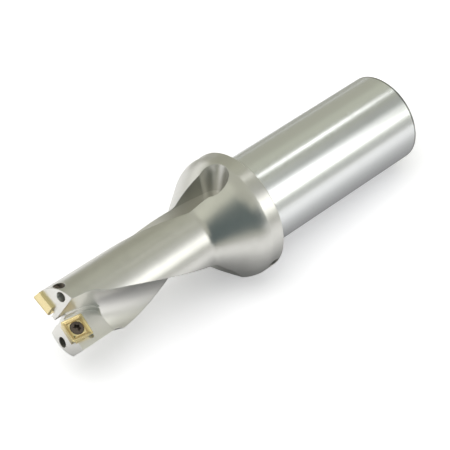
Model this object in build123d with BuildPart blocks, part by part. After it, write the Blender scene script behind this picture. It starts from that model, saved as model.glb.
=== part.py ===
from build123d import *
from math import cos, radians, sin, tan
import os

os.makedirs("parts", exist_ok=True)

# The drill stands on the end of its shank: +Z runs along its axis to the tip, and the
# cutting edge of the peripheral insert lies in the half plane y = 0, x > 0.

# Turned blank
shank_diameter = 25.0
shank_length = 56.0
shank_chamfer = 0.5
flange_diameter = 33.5
flange_thickness = 4.1
flange_chamfer = 0.25
cone_half_angle = 34.4
cone_onset = 1.9
shoulder_run = 4.4
body_diameter = 18.7
neck_fillet = 3.5
reach_beyond_flange = 61.1

# Helix that the flutes and the coolant channels follow, right-hand
helix_lead = 166.0

# Flute in front of the central insert, angles given in the plane of the tip
central_flute_angle = -122.5
central_flute_radius = 7.9
central_flute_web = 1.75
central_flute_end = 70.0
central_flute_short = 8.6

# Flute in front of the peripheral insert: round bottom and opening walls
peripheral_flute_angle = 51.4
peripheral_flute_radius = 2.6
peripheral_flute_web = 3.2
peripheral_flute_opening = 10.6
peripheral_flute_end = 64.8

# Square inserts with relieved flanks and a moulded chip groove
insert_side = 6.0
insert_thickness = 2.38
insert_corner = 0.4
insert_relief = 11.0
insert_hole = 2.8
countersink_diameter = 3.6
countersink_angle = 60.0
edge_land = 0.22
groove_depth = 0.3
groove_slope = 0.62
plateau_drop = 0.05
plateau_side = 3.5
plateau_slope = 0.25

# Where the inserts stand
cutting_diameter = 19.0
peripheral_tilt = 8.0
central_lead = 7.5
central_overlap = 0.49
central_setback = 1.33

# Pockets
gullet_level = 0.6
central_gullet_run = 8.0
central_gullet_corner = 8.5
peripheral_gullet_run = 5.3
peripheral_gullet_corner = 5.0
central_wall_gap = 1.17
peripheral_wall_gap = 1.65
central_ledge = 0.35
peripheral_ledge = 1.3
floor_level = -1.2
central_floor_run = 11.75
seat_gap = 0.35
corner_relief = 0.65

# End faces of the two lobes: depth below the tip at the axis and rise per length along X and Y
peripheral_end_setback = 1.1
peripheral_end_rise = (0.0, 0.218)
central_end_setback = 3.2
central_end_rise = (-0.13, 0.13)

# Flat milled on the outside of the lobe behind the central insert
relief_flat_angle = 165.4
relief_flat_distance = 8.2
relief_flat_run = 13.1
relief_flat_runout = 5.0

# Insert screws
screw_thread = 2.4
tapped_hole = 2.5
screw_head = 3.3
screw_head_sink = 0.12
screw_length = 5.7
screw_seat_clearance = 0.02
screw_point_chamfer = 0.25
central_tapped_depth = 3.6
recess_core = 1.6
recess_lobe = 0.54
recess_lobe_circle = 1.56
recess_depth = 0.9

# Coolant ways
coolant_bore = 8.0
coolant_bore_depth = 59.5
coolant_bore_chamfer = 0.8
drill_point_angle = 118.0
channel_diameter = 2.6
channel_circle = 7.7
channel_bores = 5
channel_angles = (-53.0, 110.9)
cross_hole = 2.5
plug_hole = 3.4
plug_diameter = 3.3
plug_length = 4.0
plug_sink = 0.4
plug_end_gap = 0.1
plug_socket = 1.5
plug_socket_depth = 1.6

# Past this distance a cutter is clear of the whole drill
clear = 24.0

# Heights and radii that follow
shank_radius = shank_diameter / 2
flange_radius = flange_diameter / 2
body_radius = body_diameter / 2
cutting_radius = cutting_diameter / 2
cone_start = shank_length + flange_thickness
cone_slope = tan(radians(cone_half_angle))
cone_end = cone_start + cone_onset + (flange_radius - body_radius) / cone_slope
shoulder_end = cone_start + shoulder_run
shoulder_radius = flange_radius - (shoulder_run - cone_onset) * cone_slope
tip_height = shank_length + reach_beyond_flange
cross_height = shank_length + flange_thickness / 2
half_insert = insert_side / 2
lobe_split = cutting_radius - insert_side - peripheral_wall_gap
plateau_base = plateau_side + 2 * plateau_slope


def angle_at(height, tip_angle):
    """Angle about the drill's axis, at a height, of what stands at tip_angle at the tip."""
    return tip_angle - 360 * (tip_height - height) / helix_lead


# Frame of each insert: x towards the drill's axis, y to the tip and z out of the rake face,
# with the origin at the middle of the rake face.
lead_cos = cos(radians(central_lead))
lead_sin = sin(radians(central_lead))
tilt_cos = cos(radians(peripheral_tilt))
tilt_sin = sin(radians(peripheral_tilt))
central_place = Plane(
    origin=(
        central_overlap - half_insert * (lead_cos + lead_sin),
        0,
        tip_height - central_setback + half_insert * (lead_sin - lead_cos),
    ),
    x_dir=(lead_cos, 0, -lead_sin),
    z_dir=(0, -1, 0),
)
peripheral_place = Plane(
    origin=(
        cutting_radius - half_insert,
        half_insert * tilt_sin,
        tip_height - half_insert * tilt_cos,
    ),
    x_dir=(-1, 0, 0),
    z_dir=(0, tilt_cos, tilt_sin),
)


def round_flute_cutter():
    """Cutter of the central flute, at angle 0, with its round end turned about its radial line."""
    offset = central_flute_web + central_flute_radius
    start = Plane.XY.offset(central_flute_end)
    with BuildPart() as cutter:
        with BuildLine(start):
            Helix(helix_lead, tip_height - central_flute_short - central_flute_end, offset)
        with BuildSketch(start):
            with Locations((offset, 0)):
                Circle(central_flute_radius)
                Rectangle(clear, 2 * central_flute_radius, align=(Align.MIN, Align.CENTER))
        sweep(is_frenet=True)
        with BuildSketch(start):
            with Locations((offset, 0)):
                Circle(central_flute_radius)
                Rectangle(clear, 2 * central_flute_radius, align=(Align.MIN, Align.CENTER))
            split(bisect_by=Plane.XZ)
        revolve(axis=Axis(start.origin, (1, 0, 0)))
    return cutter.part


def open_flute_cutter():
    """Cutter of the peripheral flute, at angle 0: a round bottom between walls that open outwards."""
    offset = peripheral_flute_web + peripheral_flute_radius
    opening = radians(peripheral_flute_opening)
    tangent_x = offset - peripheral_flute_radius * sin(opening)
    tangent_y = peripheral_flute_radius * cos(opening)
    mouth_y = tangent_y + (clear - tangent_x) * tan(opening)
    start = Plane.XY.offset(peripheral_flute_end)
    with BuildPart() as cutter:
        with BuildLine(start):
            Helix(helix_lead, tip_height - peripheral_flute_end + clear / 4, offset)
        with BuildSketch(start):
            with BuildLine():
                ThreePointArc(
                    (tangent_x, -tangent_y), (peripheral_flute_web, 0), (tangent_x, tangent_y)
                )
                Polyline(
                    (tangent_x, tangent_y),
                    (clear, mouth_y),
                    (clear, -mouth_y),
                    (tangent_x, -tangent_y),
                )
            make_face()
        sweep(is_frenet=True)
        with BuildSketch(start):
            with BuildLine():
                CenterArc((offset, 0), peripheral_flute_radius, 90 + peripheral_flute_opening,
                          90 - peripheral_flute_opening)
                Polyline(
                    (tangent_x, tangent_y), (clear, mouth_y), (clear, 0), (peripheral_flute_web, 0)
                )
            make_face()
        revolve(axis=Axis(start.origin, (1, 0, 0)))
    return cutter.part


def end_cutter(setback, rise, near, far, amount):
    """All above a sloping end face, for y from near to far, on one side of the split plane."""
    face = Plane(origin=(0, 0, tip_height - setback), z_dir=(-rise[0], -rise[1], 1))
    with BuildPart() as cutter:
        with BuildSketch(Plane.YZ.offset(lobe_split)):
            with Locations((near, tip_height)):
                Rectangle(far - near, 2 * clear, align=(Align.MIN, Align.CENTER))
        extrude(amount=amount)
        split(bisect_by=face, keep=Keep.TOP)
    return cutter.part


def gullet_cutter(place, wall_gap, run, corner_radius, inset, level, lowest):
    """Milled gullet in front of an insert, open to the tip and to the outside."""
    wall = half_insert + wall_gap - inset
    back = -half_insert - run + inset
    with BuildPart() as cutter:
        with BuildSketch(place.offset(level)) as outline:
            with BuildLine():
                Polyline(
                    (-clear, back), (wall, back), (wall, clear), (-clear, clear), close=True
                )
            make_face()
            corner = outline.vertices().sort_by_distance((wall, back))[0]
            fillet(corner, corner_radius - inset)
        extrude(amount=clear)
        split(bisect_by=Plane.XY.offset(lowest), keep=Keep.TOP)
    return cutter.part


def seat_cutter(place, tapped_depth):
    """Seat of an insert: it bears on the floor, the inner wall and the back wall."""
    outer = -half_insert - seat_gap
    relief_places = [(half_insert - insert_corner, insert_corner - half_insert),
                     (outer + insert_corner, insert_corner - half_insert)]
    with BuildPart() as cutter:
        with BuildSketch(place):
            with BuildLine():
                Polyline(
                    (outer, -half_insert),
                    (half_insert, -half_insert),
                    (half_insert, clear),
                    (outer, clear),
                    close=True,
                )
            make_face()
        extrude(amount=-insert_thickness, taper=insert_relief)
        with BuildSketch(place):
            with Locations(*relief_places):
                Circle(corner_relief)
        extrude(amount=-insert_thickness)
        with BuildSketch(place):
            Circle(tapped_hole / 2)
        extrude(amount=-insert_thickness - tapped_depth)
    return cutter.part


def channel_cutter():
    """Coolant channel at angle 0: straight bores along the helix, from the cross hole out of the tip."""
    rise = (tip_height - cross_height) / channel_bores
    turns = [radians(360 * rise * step / helix_lead) for step in range(channel_bores + 2)]
    stations = [
        Vector(channel_circle * cos(turn), channel_circle * sin(turn), cross_height + rise * step)
        for step, turn in enumerate(turns)
    ]
    with BuildPart() as cutter:
        with BuildLine():
            Polyline(*stations)
        with BuildSketch(Plane(origin=stations[0], z_dir=stations[1] - stations[0])):
            Circle(channel_diameter / 2)
        sweep(transition=Transition.RIGHT)
    return cutter.part


def rim_plane(angle, radius):
    """Plane across the radial line at an angle and a radius, at the height of the cross holes."""
    outwards = (cos(radians(angle)), sin(radians(angle)), 0)
    origin = (radius * outwards[0], radius * outwards[1], cross_height)
    return Plane(origin=origin, x_dir=(0, 0, 1), z_dir=outwards)


peripheral_flute = open_flute_cutter()
channel = channel_cutter()
shelf_height = tip_height - central_floor_run
ends = [
    end_cutter(peripheral_end_setback, peripheral_end_rise, -clear, clear, clear),
    end_cutter(peripheral_end_setback, peripheral_end_rise, -clear, -gullet_level, -clear),
    end_cutter(central_end_setback, central_end_rise, -gullet_level, clear, -clear),
]
central_shape = (central_place, central_wall_gap, central_gullet_run, central_gullet_corner)
peripheral_shape = (
    peripheral_place, peripheral_wall_gap, peripheral_gullet_run, peripheral_gullet_corner
)
gullets = [
    gullet_cutter(*central_shape, 0, gullet_level, cone_end),
    gullet_cutter(*central_shape, central_ledge, floor_level, shelf_height),
    gullet_cutter(*peripheral_shape, 0, gullet_level, cone_end),
    gullet_cutter(*peripheral_shape, peripheral_ledge, floor_level, cone_end),
]
seats = [
    seat_cutter(central_place, central_tapped_depth),
    seat_cutter(peripheral_place, body_diameter),
]
channel_feet = [angle_at(cross_height, angle) for angle in channel_angles]

# The central flute leaves the lobe behind the central insert whole near the tip
with BuildPart() as central_flute:
    add(round_flute_cutter(), rotation=(0, 0, angle_at(central_flute_end, central_flute_angle)))
    with BuildSketch(Plane.XY.offset(shelf_height)):
        with Locations((0, -floor_level)):
            Rectangle(2 * clear, clear, align=(Align.CENTER, Align.MIN))
    extrude(amount=clear, mode=Mode.SUBTRACT)

with BuildPart() as drill_body:
    # Shank, flange, cone and body, turned in one piece
    with BuildSketch(Plane.XZ) as blank:
        with BuildLine():
            Polyline(
                (0, 0),
                (shank_radius - shank_chamfer, 0),
                (shank_radius, shank_chamfer),
                (shank_radius, shank_length),
                (flange_radius - flange_chamfer, shank_length),
                (flange_radius, shank_length + flange_chamfer),
                (flange_radius, cone_start),
            )
            TangentArc(
                (shoulder_radius, shoulder_end),
                (flange_radius, cone_start),
                tangent=(cone_slope, -1),
            )
            Polyline(
                (shoulder_radius, shoulder_end),
                (body_radius, cone_end),
                (body_radius, tip_height),
                (0, tip_height),
                (0, 0),
            )
        make_face()
        fillet(blank.vertices().sort_by_distance((body_radius, cone_end))[0], neck_fillet)
    revolve(axis=Axis.Z)

    # Flutes
    add(central_flute.part, mode=Mode.SUBTRACT)
    add(
        peripheral_flute,
        rotation=(0, 0, angle_at(peripheral_flute_end, peripheral_flute_angle)),
        mode=Mode.SUBTRACT,
    )

    # End faces of the lobes, gullets and seats
    for cutter in ends + gullets + seats:
        add(cutter, mode=Mode.SUBTRACT)

    # Flat on the outside of the lobe behind the central insert
    flat_end = tip_height - relief_flat_run
    flat_side = Plane.XZ.rotated((0, 0, relief_flat_angle))
    with BuildSketch(flat_side):
        with BuildLine():
            Polyline(
                (relief_flat_distance, flat_end),
                (relief_flat_distance, tip_height + 1),
                (relief_flat_distance + relief_flat_runout, tip_height + 1),
                (relief_flat_distance + relief_flat_runout, flat_end - relief_flat_runout),
            )
            CenterArc(
                (relief_flat_distance + relief_flat_runout, flat_end), relief_flat_runout, 180, 90
            )
        make_face()
    extrude(amount=body_radius, both=True, mode=Mode.SUBTRACT)

    # Coolant ways: bore up the shank, cross holes from the rim and channels to the end faces
    for foot in channel_feet:
        add(channel, rotation=(0, 0, foot), mode=Mode.SUBTRACT)
        with BuildSketch(rim_plane(foot, 0)):
            Circle(cross_hole / 2)
        extrude(amount=flange_radius, mode=Mode.SUBTRACT)
        with BuildSketch(rim_plane(foot, flange_radius)):
            Circle(plug_hole / 2)
        extrude(amount=-plug_sink - plug_length - plug_end_gap, mode=Mode.SUBTRACT)
    with BuildSketch(Plane.XZ):
        with BuildLine():
            bore_radius = coolant_bore / 2
            point = bore_radius / tan(radians(drill_point_angle / 2))
            Polyline(
                (0, 0),
                (bore_radius + coolant_bore_chamfer, 0),
                (bore_radius, coolant_bore_chamfer),
                (bore_radius, coolant_bore_depth),
                (0, coolant_bore_depth + point),
                close=True,
            )
        make_face()
    revolve(axis=Axis.Z, mode=Mode.SUBTRACT)

drill_body.part.label = "drill_body"
export_step(drill_body.part, "parts/drill_body.step")

for name, place in (
    ("central", central_place),
    ("peripheral", peripheral_place),
):
    pit_side = insert_side - 2 * edge_land
    pit_floor = pit_side - 2 * groove_slope
    with BuildPart() as insert:
        # Relieved square
        with BuildSketch(place):
            RectangleRounded(insert_side, insert_side, insert_corner)
        extrude(amount=-insert_thickness, taper=insert_relief)
        # Chip groove round a raised middle
        with BuildSketch(place):
            RectangleRounded(pit_side, pit_side, insert_corner)
        with BuildSketch(place.offset(-groove_depth)):
            RectangleRounded(pit_floor, pit_floor, insert_corner)
        loft(mode=Mode.SUBTRACT)
        with BuildSketch(place.offset(-groove_depth)):
            RectangleRounded(plateau_base, plateau_base, insert_corner)
        with BuildSketch(place.offset(-plateau_drop)):
            RectangleRounded(plateau_side, plateau_side, insert_corner)
        loft()
        with Locations(place.offset(-plateau_drop)):
            CounterSinkHole(
                insert_hole / 2,
                countersink_diameter / 2,
                counter_sink_angle=countersink_angle,
            )
    insert.part.label = f"{name}_insert"
    export_step(insert.part, f"parts/{name}_insert.step")

    # Screw: its cone bears in the countersink of the insert
    slope = tan(radians(countersink_angle / 2))
    seat_mouth = countersink_diameter / 2 - screw_seat_clearance
    head_radius = screw_head / 2
    thread_radius = screw_thread / 2
    rim_depth = plateau_drop + (seat_mouth - head_radius) / slope
    cone_depth = plateau_drop + (seat_mouth - thread_radius) / slope
    point_depth = screw_head_sink + screw_length
    side_plane = Plane(origin=place.origin, x_dir=place.x_dir, z_dir=-place.y_dir)
    with BuildPart() as screw:
        with BuildSketch(side_plane):
            with BuildLine():
                Polyline(
                    (0, -screw_head_sink),
                    (head_radius, -screw_head_sink),
                    (head_radius, -rim_depth),
                    (thread_radius, -cone_depth),
                    (thread_radius, screw_point_chamfer - point_depth),
                    (thread_radius - screw_point_chamfer, -point_depth),
                    (0, -point_depth),
                    close=True,
                )
            make_face()
        revolve(axis=Axis(place.origin, place.z_dir))
        with BuildSketch(place.offset(-screw_head_sink)):
            Circle(recess_core / 2)
            with PolarLocations(recess_lobe_circle / 2, 6):
                Circle(recess_lobe / 2)
        extrude(amount=-recess_depth, mode=Mode.SUBTRACT)
    screw.part.label = f"{name}_insert_screw"
    export_step(screw.part, f"parts/{name}_insert_screw.step")

for name, foot in zip(("front", "back"), channel_feet):
    with BuildPart() as plug:
        with BuildSketch(rim_plane(foot, flange_radius - plug_sink)):
            Circle(plug_diameter / 2)
        extrude(amount=-plug_length)
        with BuildSketch(rim_plane(foot, flange_radius - plug_sink)):
            RegularPolygon(plug_socket / 2, 6, major_radius=False)
        extrude(amount=-plug_socket_depth, mode=Mode.SUBTRACT)
    plug.part.label = f"coolant_plug_{name}"
    export_step(plug.part, f"parts/coolant_plug_{name}.step")
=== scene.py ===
"""Looks of an indexable drill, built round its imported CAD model.

Lengths are in metres in the CAD frame: the drill stands on the end of its shank and its
axis runs up +Z. The floor and the camera lie as in the photograph, where the drill rests
on the rim of its flange and on the end of its shank.
"""

import logging
import math
from dataclasses import dataclass, field, replace
from enum import Enum
from functools import cache
from typing import Callable, Iterable, Union

import bmesh
import bpy
from mathutils import Matrix, Vector


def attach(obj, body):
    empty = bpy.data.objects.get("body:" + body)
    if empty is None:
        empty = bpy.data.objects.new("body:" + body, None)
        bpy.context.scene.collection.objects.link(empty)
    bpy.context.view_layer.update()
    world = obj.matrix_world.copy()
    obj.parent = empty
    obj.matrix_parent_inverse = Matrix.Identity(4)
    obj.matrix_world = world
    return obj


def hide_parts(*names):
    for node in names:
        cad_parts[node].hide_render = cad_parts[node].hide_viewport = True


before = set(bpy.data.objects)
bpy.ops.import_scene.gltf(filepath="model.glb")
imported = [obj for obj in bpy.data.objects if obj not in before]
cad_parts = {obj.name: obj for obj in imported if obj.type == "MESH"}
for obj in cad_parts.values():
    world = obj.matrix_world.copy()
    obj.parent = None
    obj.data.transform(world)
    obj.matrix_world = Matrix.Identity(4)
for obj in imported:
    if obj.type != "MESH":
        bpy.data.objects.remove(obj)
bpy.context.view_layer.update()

log = logging.getLogger("drill")
MM = 0.001
DEGREES = math.degrees(1.0)

# Corners of a CAD node that are nearer than the first length are merged. The second length is
# the shortest edge that is kept there, and the gap that is closed in the thread.
MERGE_GAP = 0.000001
SHORTEST_EDGE = 0.0000005

# Sockets of the Mix node for colours
MIX_FACTOR, MIX_FIRST, MIX_SECOND, MIX_RESULT = 0, 6, 7, 2

Colour = tuple[float, float, float]
WHITE: Colour = (1.0, 1.0, 1.0)


# Shader maths


def _operator(operation: str, swapped: bool = False) -> Callable[["Field", "Value"], "Field"]:
    """Makes an arithmetic operator of Field.

    Args:
        operation: Operation of the Math node that it adds.
        swapped: True for the reflected form, where the field comes second.

    Returns:
        The operator's function.
    """

    def apply(self: "Field", other: "Value") -> "Field":
        """Adds the Math node and wraps its result."""
        pair = (other, self) if swapped else (self, other)
        return self.graph.math(operation, *pair)

    return apply


class Field:
    """A number that varies over a surface. Arithmetic on it adds Math nodes to its graph."""

    __add__ = __radd__ = _operator("ADD")
    __sub__ = _operator("SUBTRACT")
    __rsub__ = _operator("SUBTRACT", swapped=True)
    __mul__ = __rmul__ = _operator("MULTIPLY")

    def __init__(self, graph: "Graph", socket: bpy.types.NodeSocket) -> None:
        """Wraps an output socket of a graph."""
        self.graph = graph
        self.socket = socket

    def between(self, low: float, high: float) -> "Field":
        """Smooth step of this value.

        Args:
            low: Value at which the step is 0.
            high: Value at which the step is 1.

        Returns:
            The step.
        """
        node = self.graph.node(
            "ShaderNodeMapRange",
            {"interpolation_type": "SMOOTHSTEP"},
            {"Value": self, "From Min": low, "From Max": high},
        )
        return Field(self.graph, node.outputs["Result"])


Value = Union[Field, float]


class Graph:
    """Node graph of one finish, of the floor or of the world."""

    def __init__(self, tree: bpy.types.NodeTree) -> None:
        """Empties a node tree and takes it over."""
        self.tree = tree
        tree.nodes.clear()

    def node(
        self, kind: str, settings: dict | None = None, sockets: dict | None = None
    ) -> bpy.types.Node:
        """Adds a node.

        Args:
            kind: Type name of the node.
            settings: Its properties.
            sockets: Input name or number to a value, a Field or an output socket.

        Returns:
            The node.
        """
        made = self.tree.nodes.new(kind)
        for name, value in (settings or {}).items():
            setattr(made, name, value)
        for name, value in (sockets or {}).items():
            self.feed(made.inputs[name], value)
        return made

    def feed(self, socket: bpy.types.NodeSocket, value: object) -> None:
        """Sets an input socket, or links it to a Field or an output socket.

        Args:
            socket: The input socket.
            value: A number, a colour, a Field or an output socket.
        """
        if isinstance(value, Field):
            value = value.socket
        if isinstance(value, bpy.types.NodeSocket):
            self.tree.links.new(value, socket)
        elif isinstance(value, tuple) and socket.type == "RGBA":
            socket.default_value = (*value, 1.0)
        else:
            socket.default_value = value

    def math(self, operation: str, *values: Value) -> Field:
        """Adds a Math node.

        Args:
            operation: Its operation.
            values: Its inputs in order.

        Returns:
            The result.
        """
        sockets = dict(enumerate(values))
        node = self.node("ShaderNodeMath", {"operation": operation}, sockets)
        return Field(self, node.outputs[0])

    def vector(self, operation: str, *values: object) -> bpy.types.Node:
        """Adds a Vector Math node with its inputs in order, and returns it."""
        sockets = dict(enumerate(values))
        return self.node("ShaderNodeVectorMath", {"operation": operation}, sockets)

    def along(self, place: object, axis: Iterable[float]) -> Field:
        """Coordinate of a vector socket along an axis of length 1."""
        return Field(self, self.vector("DOT_PRODUCT", place, tuple(axis)).outputs["Value"])

    def distance(self, first: Field, second: Field) -> Field:
        """Length of the vector with two coordinates."""
        return self.math("SQRT", first * first + second * second)

    def blend(self, factor: Value, first: object, second: object) -> bpy.types.NodeSocket:
        """Mixes two colours.

        Args:
            factor: Share of the second colour.
            first: Colour or colour socket.
            second: Colour or colour socket.

        Returns:
            Output socket with the mixed colour.
        """
        node = self.node("ShaderNodeMix", {"data_type": "RGBA"})
        self.feed(node.inputs[MIX_FACTOR], factor)
        self.feed(node.inputs[MIX_FIRST], first)
        self.feed(node.inputs[MIX_SECOND], second)
        return node.outputs[MIX_RESULT]

    def noise(self, place: object, scale: float, detail: float = 2.0) -> Field:
        """Soft noise from 0 to 1.

        Args:
            place: Vector socket that it reads.
            scale: Features per metre.
            detail: Octaves.

        Returns:
            The noise.
        """
        node = self.node(
            "ShaderNodeTexNoise",
            {"noise_dimensions": "3D"},
            {"Vector": place, "Scale": scale, "Detail": detail},
        )
        return Field(self, node.outputs[0])


# Finishes


@dataclass(frozen=True)
class Finish:
    """A metal finish: colour, sheen and the fine marks that its making left."""

    name: str
    tint: Colour
    roughness: float
    roughness_change: float = 0.05
    mark_stretch: tuple[float, float, float] = (900.0, 900.0, 900.0)
    mark_detail: float = 3.0
    mark_depth: float = 0.000004
    edge_round: float = 0.00008
    edge_samples: int = 6
    cloud_scale: float = 260.0
    cloud_low: float = 0.35
    cloud_high: float = 0.75
    cloud_shade: float = 0.95
    handling_scale: float = 180.0
    handling_detail: float = 4.0

    @cache
    def material(self) -> bpy.types.Material:
        """Builds the finish as a node material, once.

        Returns:
            The material.
        """
        made = bpy.data.materials.new(self.name)
        made.use_nodes = True
        graph = Graph(made.node_tree)
        place = graph.node("ShaderNodeTexCoord").outputs["Object"]
        surface = graph.node(
            "ShaderNodeBsdfPrincipled",
            sockets={
                "Metallic": 1.0,
                "Base Color": self.colour(graph, place),
                "Roughness": self.sheen(graph, place),
                "Normal": self.relief(graph, place),
            },
        )
        graph.node(
            "ShaderNodeOutputMaterial", sockets={"Surface": surface.outputs["BSDF"]}
        )
        return made

    def colour(self, graph: Graph, place: bpy.types.NodeSocket) -> object:
        """Colour with faint cloudy changes.

        Args:
            graph: Graph of the finish.
            place: Object coordinates.

        Returns:
            Output socket with the colour.
        """
        cloud = graph.noise(place, self.cloud_scale).between(self.cloud_low, self.cloud_high)
        darker = tuple(self.cloud_shade * part for part in self.tint)
        return graph.blend(cloud, self.tint, darker)

    def sheen(self, graph: Graph, place: bpy.types.NodeSocket) -> Value:
        """Roughness with soft handling marks."""
        cloud = graph.noise(place, self.handling_scale, self.handling_detail)
        return (cloud - 0.5) * (2 * self.roughness_change) + self.roughness

    def marks(self, graph: Graph, place: bpy.types.NodeSocket) -> Field:
        """Height of the fine marks, from 0 to 1."""
        stretched = graph.vector("MULTIPLY", place, self.mark_stretch).outputs[0]
        return graph.noise(stretched, 1.0, self.mark_detail)

    def relief(self, graph: Graph, place: bpy.types.NodeSocket) -> bpy.types.NodeSocket:
        """Normal of the fine marks over softly broken edges.

        Args:
            graph: Graph of the finish.
            place: Object coordinates.

        Returns:
            Output socket with the normal.
        """
        edge = graph.node(
            "ShaderNodeBevel", {"samples": self.edge_samples}, {"Radius": self.edge_round}
        ).outputs["Normal"]
        return graph.node(
            "ShaderNodeBump",
            sockets={
                "Strength": 1.0,
                "Distance": self.mark_depth,
                "Height": self.marks(graph, place),
                "Normal": edge,
            },
        ).outputs["Normal"]


@dataclass(frozen=True)
class BodySteel(Finish):
    """Satin nickelled steel of the drill body: ground shank, turned cone, milled flutes."""

    shank_tint: Colour = (0.81, 0.825, 0.83)
    shank_roughness: float = 0.24
    # Painted shade: a dark line on the chamfer in place of the dark reflection along the shank's
    # end
    chamfer_painted_shade: Colour = (0.24, 0.245, 0.235)
    chamfer_low: float = 0.0008
    chamfer_high: float = 0.001
    chamfer_inner: float = 0.01195
    chamfer_outer: float = 0.01201
    shank_end: float = 0.0558
    shank_blend: float = 0.0002
    flute_radius: float = 0.00925
    flute_blend: float = 0.00006
    flute_roughness: float = 0.34
    flute_tint: Colour = (0.86, 0.85, 0.82)

    def _radius(self, graph: Graph, place: bpy.types.NodeSocket) -> Field:
        """Distance from the drill's axis."""
        flat = graph.vector("MULTIPLY", place, (1.0, 1.0, 0.0)).outputs[0]
        return Field(graph, graph.vector("LENGTH", flat).outputs["Value"])

    def _height(self, graph: Graph, place: bpy.types.NodeSocket) -> Field:
        """Height above the end of the shank."""
        return Field(graph, graph.node("ShaderNodeSeparateXYZ", sockets={0: place}).outputs["Z"])

    def _past_shank(self, graph: Graph, place: bpy.types.NodeSocket) -> Field:
        """0 on the shank and 1 beyond it."""
        end = self.shank_end
        return self._height(graph, place).between(end, end + self.shank_blend)

    def _in_flute(self, graph: Graph, place: bpy.types.NodeSocket) -> Field:
        """1 on the milled surfaces beyond the shank, nearer to the axis than the body's skin.

        Args:
            graph: Graph of the finish.
            place: Object coordinates.

        Returns:
            The share.
        """
        reach = self.flute_radius + self.flute_blend
        inside = 1.0 - self._radius(graph, place).between(self.flute_radius, reach)
        return inside * self._past_shank(graph, place)

    def _on_chamfer(self, graph: Graph, place: bpy.types.NodeSocket) -> Field:
        """1 on the chamfer at the end of the shank, up to where the ground surface starts; painted
        shade goes there.

        Args:
            graph: Graph of the finish.
            place: Object coordinates.

        Returns:
            The share.
        """
        low = 1.0 - self._height(graph, place).between(self.chamfer_low, self.chamfer_high)
        out = self._radius(graph, place).between(self.chamfer_inner, self.chamfer_outer)
        return low * out

    def colour(self, graph: Graph, place: bpy.types.NodeSocket) -> object:
        """Neutral on the shank, warmer beyond it, paler in the flutes, painted shade on the
        chamfer.

        Args:
            graph: Graph of the finish.
            place: Object coordinates.

        Returns:
            Output socket with the colour.
        """
        warm = Finish.colour(self, graph, place)
        turned = graph.blend(self._past_shank(graph, place), self.shank_tint, warm)
        # Painted shade on the chamfer at the shank's end
        chamfer_shaded = graph.blend(self._on_chamfer(graph, place), turned, self.chamfer_painted_shade)
        return graph.blend(self._in_flute(graph, place), chamfer_shaded, self.flute_tint)

    def marks(self, graph: Graph, place: bpy.types.NodeSocket) -> Field:
        """Turning marks, which the milled flutes don't have."""
        return Finish.marks(self, graph, place) * (1.0 - self._in_flute(graph, place))

    def sheen(self, graph: Graph, place: bpy.types.NodeSocket) -> Value:
        """Glossy on the ground shank, satin on the turned and milled surfaces.

        Args:
            graph: Graph of the finish.
            place: Object coordinates.

        Returns:
            The roughness.
        """
        clouds = Finish.sheen(self, graph, place)
        shank = self.shank_roughness - self.roughness
        flute = self.flute_roughness - self.roughness
        return (
            clouds
            + (1.0 - self._past_shank(graph, place)) * shank
            + self._in_flute(graph, place) * flute
        )


@dataclass(frozen=True)
class CoatedCarbide(Finish):
    """Sintered carbide with a pale gold coating, with painted shade in the moulded groove of its
    rake face.
    """

    middle: tuple[float, float, float] = (0.0, 0.0, 0.0)
    facing: tuple[float, float, float] = (0.0, 0.0, 1.0)
    # Painted shade in the groove of the rake face, darker and warmer than the coating
    groove_painted_shade: Colour = (0.70, 0.54, 0.27)
    groove_start: float = 0.00001
    groove_end: float = 0.00026
    flank_start: float = 0.00032
    flank_end: float = 0.00036

    def colour(self, graph: Graph, place: bpy.types.NodeSocket) -> object:
        """Pale on the land and the raised middle, painted shade towards the bottom of the groove.

        Args:
            graph: Graph of the finish.
            place: Object coordinates.

        Returns:
            Output socket with the colour.
        """
        pale = Finish.colour(self, graph, place)
        offset = graph.vector("SUBTRACT", place, self.middle).outputs[0]
        depth = graph.along(offset, self.facing) * -1.0
        # Painted shade, deepest towards the bottom of the groove
        groove_shade = depth.between(self.groove_start, self.groove_end)
        above = 1.0 - depth.between(self.flank_start, self.flank_end)
        return graph.blend(groove_shade * above, pale, self.groove_painted_shade)


STEEL = BodySteel(
    name="satin_steel",
    tint=(0.69, 0.685, 0.655),
    roughness=0.29,
    roughness_change=0.03,
    mark_stretch=(60.0, 60.0, 5200.0),
    mark_depth=0.0000004,
    edge_round=0.00018,
)
CARBIDE = CoatedCarbide(
    name="gold_carbide",
    tint=(0.96, 0.82, 0.47),
    roughness=0.24,
    mark_stretch=(7000.0, 7000.0, 7000.0),
    mark_depth=0.0000008,
    edge_round=0.00005,
)
SCREW_STEEL = Finish(
    name="dark_screw",
    tint=(0.19, 0.155, 0.14),
    roughness=0.14,
    mark_depth=0.000001,
    edge_round=0.00005,
)
PLUG_STEEL = Finish(
    name="black_plug",
    tint=(0.10, 0.095, 0.09),
    roughness=0.36,
    mark_depth=0.000002,
    edge_round=0.00005,
)


# Pieces of the drill


# The shallow crease between the rim of the flange and the cone, and how far a corner may be off it
RIM_FRONT = 0.0601
RIM_RADIUS = 0.01675
RIM_FRONT_SLACK = 0.02 * MM
RIM_RADIUS_SLACK = 0.1 * MM


def turned_crease(edge: bmesh.types.BMEdge) -> bool:
    """Tells whether an edge lies on the crease between the rim of the flange and the cone.

    Args:
        edge: The edge, in the CAD frame.

    Returns:
        True where both its corners lie on the crease.
    """
    return all(
        abs(end.co.z - RIM_FRONT) < RIM_FRONT_SLACK
        and abs(end.co.xy.length - RIM_RADIUS) < RIM_RADIUS_SLACK
        for end in edge.verts
    )


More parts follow.
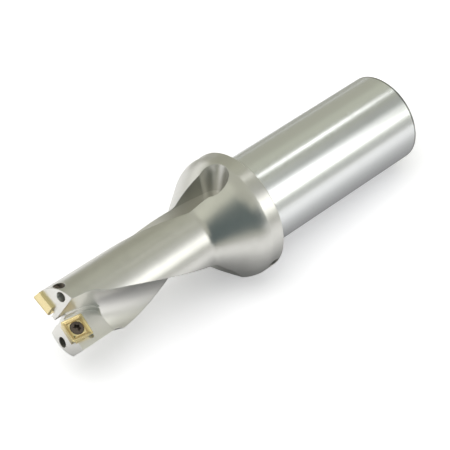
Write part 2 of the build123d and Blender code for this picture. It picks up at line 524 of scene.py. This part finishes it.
def smooth_copy(node: str, name: str, crease_angle: float) -> bpy.types.Object:
    """Copies a CAD node as a merged mesh that shades smoothly between its creases.

    Args:
        node: Name of the CAD node.
        name: Name of the new piece.
        crease_angle: Angle between faces, in degrees, above which an edge stays sharp.

    Returns:
        The new object, at the origin.
    """
    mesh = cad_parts[node].data.copy()
    mesh.name = name
    mesh.transform(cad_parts[node].matrix_world)
    soup = bmesh.new()
    soup.from_mesh(mesh)
    bmesh.ops.remove_doubles(soup, verts=soup.verts, dist=MERGE_GAP)
    bmesh.ops.dissolve_degenerate(soup, edges=soup.edges, dist=SHORTEST_EDGE)
    for face in soup.faces:
        face.smooth = True
    limit = math.radians(crease_angle)
    for edge in soup.edges:
        edge.smooth = edge.calc_face_angle(math.pi) < limit and not turned_crease(edge)
    soup.to_mesh(mesh)
    soup.free()
    piece = bpy.data.objects.new(name, mesh)
    bpy.context.scene.collection.objects.link(piece)
    return piece


def dress(piece: bpy.types.Object, finish: Finish, node: str) -> None:
    """Gives a piece its finish and puts it in the place of a CAD node.

    Args:
        piece: The piece.
        finish: Its finish.
        node: CAD node that it stands for.
    """
    piece.data.materials.clear()
    piece.data.materials.append(finish.material())
    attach(piece, "root")
    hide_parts(node)
    log.info("%s: %d faces", piece.name, len(piece.data.polygons))


class Seat(Enum):
    """The two places that an insert can take."""

    CENTRAL = "central"
    PERIPHERAL = "peripheral"


class PlugPlace(Enum):
    """The two plugged holes in the rim of the flange."""

    FRONT = "front"
    BACK = "back"


@dataclass(frozen=True)
class ScrewAxis:
    """Axis of an insert screw, from the middle of its head face."""

    head: Vector
    outwards: Vector

    def matrix(self, depth: float) -> Matrix:
        """Turns +Z to the axis, with the origin at a depth below the head face.

        Args:
            depth: Distance from the head face towards the point.

        Returns:
            The matrix.
        """
        turn = self.outwards.to_track_quat("Z", "Y").to_matrix().to_4x4()
        turn.translation = self.head - depth * self.outwards
        return turn


@dataclass(frozen=True)
class Thread:
    """A helical ridge with a triangular section, made with Geometry Nodes."""

    core: float = 1.185 * MM
    ridge: float = 0.06 * MM
    pitch: float = 0.45 * MM
    start: float = 5.4 * MM
    length: float = 3.4 * MM
    steps: int = 40
    section_corners: int = 3

    def _tree(self) -> tuple[bpy.types.NodeTree, dict[str, str]]:
        """Builds the node tree: a spiral that sweeps a triangle.

        Returns:
            The tree, and the identifier of each named input.
        """
        tree = bpy.data.node_groups.new("thread", "GeometryNodeTree")
        inputs = {}
        for name, kind in (
            ("Geometry", "NodeSocketGeometry"),
            ("Core", "NodeSocketFloat"),
            ("Ridge", "NodeSocketFloat"),
            ("Turns", "NodeSocketFloat"),
            ("Length", "NodeSocketFloat"),
            ("Steps", "NodeSocketInt"),
            ("Section Corners", "NodeSocketInt"),
            ("Finish", "NodeSocketMaterial"),
        ):
            made = tree.interface.new_socket(name, in_out="INPUT", socket_type=kind)
            inputs[name] = made.identifier
        tree.interface.new_socket("Geometry", in_out="OUTPUT", socket_type="NodeSocketGeometry")
        graph = Graph(tree)
        given = graph.node("NodeGroupInput").outputs
        spiral = graph.node(
            "GeometryNodeCurveSpiral",
            sockets={
                "Resolution": given["Steps"],
                "Rotations": given["Turns"],
                "Start Radius": given["Core"],
                "End Radius": given["Core"],
                "Height": given["Length"],
            },
        )
        level = graph.node(
            "GeometryNodeSetCurveNormal", {"mode": "Z_UP"}, {"Curve": spiral.outputs[0]}
        )
        section = graph.node(
            "GeometryNodeCurvePrimitiveCircle",
            sockets={"Resolution": given["Section Corners"], "Radius": given["Ridge"]},
        )
        swept = graph.node(
            "GeometryNodeCurveToMesh",
            sockets={
                "Curve": level.outputs[0],
                "Profile Curve": section.outputs[0],
                "Fill Caps": True,
            },
        )
        real = graph.node("GeometryNodeRealizeInstances", sockets={0: swept.outputs[0]})
        finished = graph.node(
            "GeometryNodeSetMaterial",
            sockets={"Geometry": real.outputs[0], "Material": given["Finish"]},
        )
        graph.node("NodeGroupOutput", sockets={0: finished.outputs[0]})
        return tree, inputs

    def mesh(self, finish: Finish) -> bpy.types.Mesh:
        """Sweeps the thread along +Z from the origin.

        Args:
            finish: Its finish.

        Returns:
            The closed mesh, with its normals outwards.
        """
        tree, inputs = self._tree()
        holder = bpy.data.objects.new("thread", bpy.data.meshes.new("thread"))
        bpy.context.scene.collection.objects.link(holder)
        modifier = holder.modifiers.new("thread", "NODES")
        modifier.node_group = tree
        for name, value in (
            ("Core", self.core),
            ("Ridge", self.ridge),
            ("Turns", self.length / self.pitch),
            ("Length", self.length),
            ("Steps", self.steps),
            ("Section Corners", self.section_corners),
            ("Finish", finish.material()),
        ):
            modifier[inputs[name]] = value
        shown = holder.evaluated_get(bpy.context.evaluated_depsgraph_get())
        swept = bpy.data.meshes.new_from_object(shown)
        bpy.data.objects.remove(holder)
        return swept

    def join(self, piece: bpy.types.Object, axis: ScrewAxis, finish: Finish) -> None:
        """Joins the thread to a screw.

        Args:
            piece: The screw.
            axis: Its axis.
            finish: Its finish.
        """
        ridge = self.mesh(finish)
        ridge.transform(axis.matrix(self.start))
        soup = bmesh.new()
        soup.from_mesh(ridge)
        bmesh.ops.remove_doubles(soup, verts=soup.verts, dist=SHORTEST_EDGE)
        bmesh.ops.recalc_face_normals(soup, faces=soup.faces)
        if soup.calc_volume(signed=True) < 0:
            bmesh.ops.reverse_faces(soup, faces=soup.faces)
        soup.to_mesh(ridge)
        soup.from_mesh(piece.data)
        soup.to_mesh(piece.data)
        soup.free()
        bpy.data.meshes.remove(ridge)


@dataclass
class DrillBody:
    """The turned and milled steel body."""

    crease_angle: float = 34.0

    def build(self) -> None:
        """Builds and dresses the body."""
        piece = smooth_copy("drill_body", "body", self.crease_angle)
        dress(piece, STEEL, "drill_body")


@dataclass
class CuttingInserts:
    """The two coated inserts and their screws."""

    crease_angle: float = 20.0
    thread: Thread = Thread()
    axes: dict[Seat, ScrewAxis] = field(
        default_factory=lambda: {
            Seat.CENTRAL: ScrewAxis(Vector((-2.876, 0.12, 113.187)) * MM, Vector((0, -1, 0))),
            Seat.PERIPHERAL: ScrewAxis(
                Vector((6.5, 0.347, 114.353)) * MM, Vector((0, 0.9903, 0.1392)).normalized()
            ),
        }
    )

    @staticmethod
    def _finish(side: str, insert: bpy.types.Object) -> CoatedCarbide:
        """Finish of an insert, fitted to its rake face.

        Most of the screw lies below the insert, so the rake face looks away from its middle.

        Args:
            side: Name of the insert's side.
            insert: The insert.

        Returns:
            The finish.
        """
        corners = [corner.co for corner in insert.data.vertices]
        middle = sum(corners, Vector()) / len(corners)
        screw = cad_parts[f"{side}_insert_screw"]
        ends = [screw.matrix_world @ corner.co for corner in screw.data.vertices]
        below = sum(ends, Vector()) / len(ends)
        facing = (middle - below).normalized()
        top = max((corner - middle).dot(facing) for corner in corners)
        return replace(
            CARBIDE,
            name=f"{side}_gold",
            middle=tuple(middle + top * facing),
            facing=tuple(facing),
        )

    def build(self) -> None:
        """Builds and dresses the inserts and the screws."""
        for seat, axis in self.axes.items():
            side = seat.value
            insert = smooth_copy(f"{side}_insert", f"{side}_carbide", self.crease_angle)
            dress(insert, self._finish(side, insert), f"{side}_insert")
            screw = smooth_copy(f"{side}_insert_screw", f"{side}_screw", self.crease_angle)
            self.thread.join(screw, axis, SCREW_STEEL)
            dress(screw, SCREW_STEEL, f"{side}_insert_screw")


@dataclass
class CoolantPlugs:
    """The two plugs in the rim of the flange."""

    crease_angle: float = 24.0

    def build(self) -> None:
        """Builds and dresses the plugs."""
        for place in PlugPlace:
            node = f"coolant_plug_{place.value}"
            plug = smooth_copy(node, f"plug_{place.value}", self.crease_angle)
            dress(plug, PLUG_STEEL, node)


# Floor, light and camera


@dataclass(frozen=True)
class Bearings:
    """Directions as seen from the floor on which the drill lies."""

    up: Vector = Vector((0.343, -0.936, 0.076)).normalized()
    centre: Vector = Vector((0.0, 0.0, 0.06))
    quarter_turn: float = 90.0

    @property
    def side(self) -> Vector:
        """Across the drill, along the floor."""
        return self.up.cross(Vector((0.0, 0.0, 1.0))).normalized()

    @property
    def ahead(self) -> Vector:
        """Along the floor from the shank to the tip."""
        return self.side.cross(self.up)

    def direction(self, azimuth: float, elevation: float) -> Vector:
        """Direction at an azimuth and an elevation.

        Args:
            azimuth: Degrees from ahead towards the side.
            elevation: Degrees above the floor.

        Returns:
            The direction, of length 1.
        """
        turn, rise = math.radians(azimuth), math.radians(elevation)
        level = math.sin(turn) * self.side + math.cos(turn) * self.ahead
        return math.cos(rise) * level + math.sin(rise) * self.up


@dataclass(frozen=True)
class Softbox:
    """An evenly bright rectangle of light that faces the drill."""

    name: str
    azimuth: float
    elevation: float
    distance: float
    width: float
    height: float
    level: float
    mirrored: bool = True

    def place(self, bearings: Bearings) -> None:
        """Adds the lamp.

        Args:
            bearings: Directions in which azimuth and elevation are given.
        """
        lamp = bpy.data.lights.new(self.name, "AREA")
        lamp.shape = "RECTANGLE"
        lamp.size = self.width
        lamp.size_y = self.height
        lamp.energy = self.level * math.pi * self.width * self.height
        towards = bearings.direction(self.azimuth, self.elevation)
        across = bearings.up.cross(towards).normalized()
        turned = Matrix((across, towards.cross(across), towards)).transposed().to_4x4()
        turned.translation = bearings.centre + self.distance * towards
        holder = bpy.data.objects.new(self.name, lamp)
        holder.matrix_world = turned
        holder.visible_glossy = self.mirrored
        bpy.context.scene.collection.objects.link(holder)


@dataclass(frozen=True)
class Panel:
    """A soft-edged panel of the surroundings, with azimuth and elevation in degrees."""

    azimuth: float
    half_width: float
    lowest: float
    highest: float
    soft: float
    shade: Colour

    def share(self, graph: Graph, towards: bpy.types.NodeSocket, bearings: Bearings) -> Field:
        """1 inside the panel, falling to 0 across its soft edge.

        Args:
            graph: Graph of the surroundings.
            towards: Direction of the ray.
            bearings: Directions in which azimuth and elevation are given.

        Returns:
            The share.
        """
        side = graph.along(towards, bearings.direction(self.azimuth + bearings.quarter_turn, 0.0))
        ahead = graph.along(towards, bearings.direction(self.azimuth, 0.0))
        up = graph.along(towards, bearings.up)
        turn = graph.math("ABSOLUTE", graph.math("ARCTAN2", side, ahead)) * DEGREES
        rise = graph.math("ARCSINE", up) * DEGREES
        across = 1.0 - turn.between(self.half_width, self.half_width + self.soft)
        above = rise.between(self.lowest - self.soft, self.lowest)
        below = 1.0 - rise.between(self.highest, self.highest + self.soft)
        return across * above * below


@dataclass(frozen=True)
class Spot:
    """A round patch of painted shade on the floor, seen only in the metal, full inside and gone
    outside.
    """

    side: float
    ahead: float
    inner: float
    outer: float


@dataclass
class Studio:
    """Floor, surroundings, lamps and camera."""

    bearings: Bearings = field(default_factory=Bearings)

    # Floor: its middle, its half side, and what it gives off to the camera and to the metal
    floor_gap: float = -0.01244
    floor_ahead: float = 0.06
    floor_half: float = 2.0
    floor_white: Colour = (0.90, 0.89, 0.935)
    floor_glow: float = 0.34
    mirrored_glow: float = 0.2

    # A painted shadow of the drill on the floor, seen only in the metal: where it fades on either
    # side, and its shades ahead of the shank and under it
    shadow_side: float = 0.06
    light_side_near: float = 0.004
    light_side_far: float = 0.02
    shadow_shade: Colour = (0.15, 0.152, 0.15)
    shank_shade: Colour = (0.29, 0.29, 0.29)
    shank_shade_near: float = 0.04
    shank_shade_far: float = 0.052

    # Painted shade on the floor, seen only in the metal, between these distances from the shank's
    # end, and in the spots
    floor_near: float = 0.16
    floor_far: float = 0.45
    unlit_spots: tuple[Spot, ...] = (
        Spot(side=-0.115, ahead=-0.035, inner=0.07, outer=0.092),
        Spot(side=-0.01, ahead=-0.08, inner=0.045, outer=0.062),
        Spot(side=-0.014, ahead=-0.03, inner=0.014, outer=0.026),
    )
    unlit_shade: Colour = (0.42, 0.42, 0.37)

    # A panel gives its azimuth, half width, lowest and highest elevation, soft edge and shade
    surroundings: Colour = (0.57, 0.575, 0.50)
    panels: tuple[Panel, ...] = (
        Panel(134.0, 10.0, 36.0, 48.0, 5.0, (1.1, 1.11, 1.1)),
        Panel(158.0, 10.0, 38.0, 46.0, 5.0, (0.30, 0.31, 0.29)),
        Panel(-171.0, 18.0, 40.0, 51.0, 4.0, (0.34, 0.35, 0.29)),
        Panel(-143.0, 12.0, 20.0, 42.0, 9.0, (0.54, 0.55, 0.45)),
        Panel(-122.0, 14.0, -10.0, 30.0, 9.0, (0.44, 0.44, 0.36)),
        Panel(-90.0, 16.0, -6.0, 13.0, 4.0, (1.2, 1.2, 1.16)),
        Panel(-25.0, 30.0, 52.0, 74.0, 9.0, (0.80, 0.81, 0.70)),
        Panel(60.0, 46.0, 9.0, 40.0, 4.0, (0.12, 0.155, 0.16)),
        Panel(41.0, 27.0, 36.0, 54.0, 7.0, (0.12, 0.155, 0.16)),
        Panel(138.0, 14.0, -12.0, 6.0, 5.0, (0.42, 0.43, 0.41)),
        Panel(108.0, 11.0, -8.0, 8.0, 4.0, (0.88, 0.88, 0.86)),
        Panel(150.0, 9.0, 51.0, 58.0, 3.0, (0.78, 0.79, 0.75)),
    )

    # A softbox gives its name, azimuth, elevation, distance, width, height and level
    softboxes: tuple[Softbox, ...] = (
        Softbox("key_box", 126.5, 27.5, 0.6, 0.265, 0.25, 1.5),
        Softbox("strip_box", -171.0, 48.5, 0.6, 0.052, 0.11, 2.9),
        Softbox("shade_box", 12.0, 72.0, 0.8, 0.66, 0.66, 2.3, mirrored=False),
    )

    # Camera of the photograph, as solved from the drill's outline: lens and sensor in mm
    camera_place: Vector = Vector((-0.09626, -0.36954, 0.29837))
    camera_target: Vector = Vector((-0.001328, 0.000346, 0.061715))
    camera_roll: float = -2.145
    camera_lens: float = 139.98
    camera_sensor: float = 36.0
    camera_near: float = 0.01
    camera_far: float = 20.0

    def build(self) -> None:
        """Builds the studio."""
        self._lay_floor()
        self._light_surroundings()
        for box in self.softboxes:
            box.place(self.bearings)
        self._set_camera()
        bpy.context.scene.view_settings.view_transform = "Standard"

    def _lay_floor(self) -> None:
        """Lays the floor that the flange and the shank touch."""
        up, side, ahead = self.bearings.up, self.bearings.side, self.bearings.ahead
        middle = self.floor_gap * up + self.floor_ahead * ahead
        half = self.floor_half
        corners = [
            middle + half * (s * side + a * ahead) for s, a in ((1, -1), (1, 1), (-1, 1), (-1, -1))
        ]
        mesh = bpy.data.meshes.new("floor")
        mesh.from_pydata([tuple(corner) for corner in corners], [], [(0, 1, 2, 3)])
        mesh.update()
        if mesh.polygons[0].normal.dot(up) < 0:
            mesh.flip_normals()
        floor = bpy.data.objects.new("floor", mesh)
        bpy.context.scene.collection.objects.link(floor)
        mesh.materials.append(self._floor_material())

    def _floor_material(self) -> bpy.types.Material:
        """Matt white floor that keeps the drill's shadow and is clear to a camera below it.

        Returns:
            The material. Mirrored in the metal, it shows painted shade under the drill and far
            away.
        """
        made = bpy.data.materials.new("floor_white")
        made.use_nodes = True
        graph = Graph(made.node_tree)
        place = graph.node("ShaderNodeTexCoord").outputs["Object"]
        across = graph.along(place, self.bearings.side)
        ahead = graph.along(place, self.bearings.ahead)
        path = graph.node("ShaderNodeLightPath").outputs
        glossy, camera = Field(graph, path["Is Glossy Ray"]), Field(graph, path["Is Camera Ray"])
        matt = graph.node("ShaderNodeBsdfDiffuse", sockets={"Color": self.floor_white})
        glow = graph.node(
            "ShaderNodeEmission",
            sockets={
                "Color": WHITE,
                "Strength": camera * self.floor_glow + glossy * self.mirrored_glow,
            },
        )
        shown = graph.node(
            "ShaderNodeAddShader", sockets={0: matt.outputs[0], 1: glow.outputs[0]}
        )
        # Painted shadow under the drill, and painted shade far away and in the spots, seen only by
        # glossy rays
        right = across.between(0.0, self.shadow_side)
        left = (across * -1.0).between(self.light_side_near, self.light_side_far)
        under = 1.0 - graph.math("MAXIMUM", right, left)
        unlit = graph.distance(across, ahead).between(self.floor_near, self.floor_far)
        for spot in self.unlit_spots:
            reach = graph.distance(across - spot.side, ahead - spot.ahead)
            unlit = graph.math("MAXIMUM", unlit, 1.0 - reach.between(spot.inner, spot.outer))
        past_shank = ahead.between(self.shank_shade_near, self.shank_shade_far)
        shadow = graph.blend(past_shank, self.shank_shade, self.shadow_shade)
        for share, shade in ((under, shadow), (unlit, self.unlit_shade)):
            dim = graph.node("ShaderNodeEmission", sockets={"Color": shade})
            shown = graph.node(
                "ShaderNodeMixShader",
                sockets={0: share * glossy, 1: shown.outputs[0], 2: dim.outputs[0]},
            )
        clear = graph.node("ShaderNodeBsdfTransparent")
        below = Field(graph, graph.node("ShaderNodeNewGeometry").outputs["Backfacing"])
        shown = graph.node(
            "ShaderNodeMixShader",
            sockets={0: below * camera, 1: shown.outputs[0], 2: clear.outputs[0]},
        )
        graph.node("ShaderNodeOutputMaterial", sockets={"Surface": shown.outputs[0]})
        return made

    def _light_surroundings(self) -> None:
        """Surroundings of an even level with darker and brighter panels, white to the camera."""
        world = bpy.data.worlds.new("surroundings")
        world.use_nodes = True
        bpy.context.scene.world = world
        graph = Graph(world.node_tree)
        towards = graph.node("ShaderNodeTexCoord").outputs["Generated"]
        shade: object = self.surroundings
        for panel in self.panels:
            share = panel.share(graph, towards, self.bearings)
            shade = graph.blend(share, shade, panel.shade)
        camera = Field(graph, graph.node("ShaderNodeLightPath").outputs["Is Camera Ray"])
        shade = graph.blend(camera, shade, WHITE)
        sky = graph.node("ShaderNodeBackground", sockets={"Color": shade, "Strength": 1.0})
        graph.node("ShaderNodeOutputWorld", sockets={"Surface": sky.outputs[0]})

    def _set_camera(self) -> None:
        """Sets the camera of the photograph."""
        ahead = (self.camera_target - self.camera_place).normalized()
        right = ahead.cross(Vector((0.0, 0.0, 1.0))).normalized()
        up = right.cross(ahead)
        cos, sin = math.cos(self.camera_roll), math.sin(self.camera_roll)
        turned_right = cos * right + sin * up
        turned_up = cos * up - sin * right
        pose = Matrix((turned_right, turned_up, -ahead)).transposed().to_4x4()
        pose.translation = self.camera_place
        camera = bpy.data.cameras.new("camera")
        camera.sensor_width = self.camera_sensor
        camera.lens = self.camera_lens
        camera.clip_start = self.camera_near
        camera.clip_end = self.camera_far
        holder = bpy.data.objects.new("camera", camera)
        holder.matrix_world = pose
        bpy.context.scene.collection.objects.link(holder)
        bpy.context.scene.camera = holder


def main() -> None:
    """Builds the drill's pieces and the studio."""
    logging.basicConfig(level=logging.INFO, format="%(name)s: %(message)s")
    for part in (DrillBody(), CuttingInserts(), CoolantPlugs()):
        part.build()
    Studio().build()


if __name__ == "__main__":
    main()
